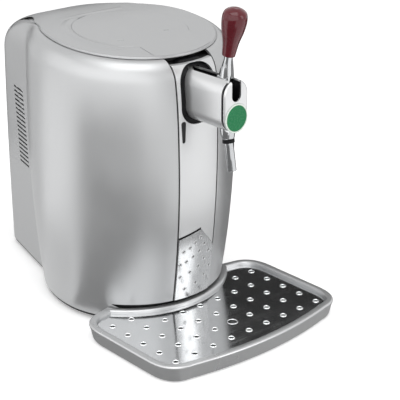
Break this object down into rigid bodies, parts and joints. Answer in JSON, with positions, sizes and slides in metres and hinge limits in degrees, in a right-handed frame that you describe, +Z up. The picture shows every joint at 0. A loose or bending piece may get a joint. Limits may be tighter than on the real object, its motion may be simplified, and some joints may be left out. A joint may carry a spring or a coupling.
{
  "type": "mini keg beer dispenser",
  "caption": "Countertop beer cooler for a five litre keg: barrel body with a thermoelectric tail, hinged lid, tap arm with a lever, and a pull-out drip tray.",
  "frame": {"origin": "centre of the footprint's bounding box, on the counter", "axes": "+Z up, the tap and the drip tray face -Y, the cooler's tail points to +Y, +X is the right-hand side seen from the front"},
  "size_m": [0.286, 0.4836, 0.4053],
  "materials": {
    "silver_shell": "satin silver lacquer over plastic",
    "silver_front": "satin pale silver lacquer over plastic",
    "silver_tray": "satin silver lacquer over plastic",
    "lid_silver": "satin silver lacquer over plastic",
    "rear_grey": "fine grain",
    "black_trim": "semi-gloss black",
    "black_matte": "moulded matte black",
    "mirror_steel": "polished steel",
    "chrome_stem": "polished chrome plate",
    "grid_steel": "bright rolled sheet",
    "pin_steel": "ground",
    "knob_red": "deep glossy red",
    "badge_green": "glossy green with a pale rim",
    "clear_tube": "clear plastic",
    "hose_clear": "milky clear hose",
    "white_plastic": "moulded white",
    "lamp_white": "clear lens over white",
    "cast_aluminium": "drawn and bare",
    "sink_aluminium": "extruded and bare",
    "foam_white": "moulded bead foam",
    "rubber_black": "matte rubber",
    "circuit_green": "lacquered circuit board",
    "core_steel": "varnished laminations"
  },
  "bodies": {
    "body": {"base_pan": "black_matte", "foot_front_left": "rubber_black", "foot_front_right": "rubber_black", "foot_rear_left": "rubber_black", "foot_rear_right": "rubber_black", "left_shell": "silver_shell", "right_shell": "silver_shell", "rear_cover": "rear_grey", "front_panel": "silver_front", "tap_bezel": "black_trim", "splash_plate": "mirror_steel", "arm_housing": "silver_front", "arm_liner": "black_trim", "arm_cap": "silver_front", "badge_disc": "badge_green", "lever_pin": "pin_steel", "keg_connector": "white_plastic", "beer_tube": "hose_clear", "nozzle_cone": "black_trim", "nozzle_ring": "black_trim", "nozzle_tube": "clear_tube", "chamber_liner": "cast_aluminium", "insulation_jacket": "foam_white", "mouth_ring": "black_matte", "top_deck": "black_matte", "hinge_cowl": "black_matte", "lid_hinge_pin": "pin_steel", "cold_block": "cast_aluminium", "peltier_module": "white_plastic", "heat_sink": "sink_aluminium", "fan_frame": "black_matte", "control_board": "circuit_green", "supply_board": "circuit_green", "transformer": "core_steel", "mains_inlet": "black_matte", "switch_frame": "black_matte"},
    "lid": {"lid_shell": "lid_silver", "lid_panel": "lid_silver", "status_light_left": "lamp_white", "status_light_right": "lamp_white", "lid_lining": "black_matte", "lid_gasket": "rubber_black"},
    "lever": {"lever_stem": "chrome_stem", "lever_knob": "knob_red"},
    "fan": {"fan_rotor": "black_matte"},
    "rocker": {"power_switch": "black_trim"},
    "tray": {"drip_tray": "silver_tray", "tray_pad_rear": "rubber_black", "tray_pad_front": "rubber_black"},
    "grid": {"drip_grid": "grid_steel"}
  },
  "joints": [
    {"name": "lid_hinge", "type": "hinge", "parent": "body", "child": "lid", "pos_m": [0, 0.16933, 0.3275], "axis": [-1, 0, 0], "range_deg": [0, 80]},
    {"name": "tap_lever", "type": "hinge", "parent": "body", "child": "lever", "pos_m": [0, -0.15467, 0.298], "axis": [1, 0, 0], "range_deg": [0, 50]},
    {"name": "tray_slide", "type": "slide", "parent": "body", "child": "tray", "axis": [0, -1, 0], "range_m": [0, 0.12]},
    {"name": "grid_lift", "type": "slide", "parent": "tray", "child": "grid", "axis": [0, 0, 1], "range_m": [0, 0.024]},
    {"name": "fan_spin", "type": "hinge", "parent": "body", "child": "fan", "pos_m": [0, 0.16613, 0.2], "axis": [0, 1, 0], "continuous": true},
    {"name": "rocker_tilt", "type": "hinge", "parent": "body", "child": "rocker", "pos_m": [0, 0.23131, 0.078], "axis": [1, 0, 0], "range_deg": [-20, 0]}
  ]
}
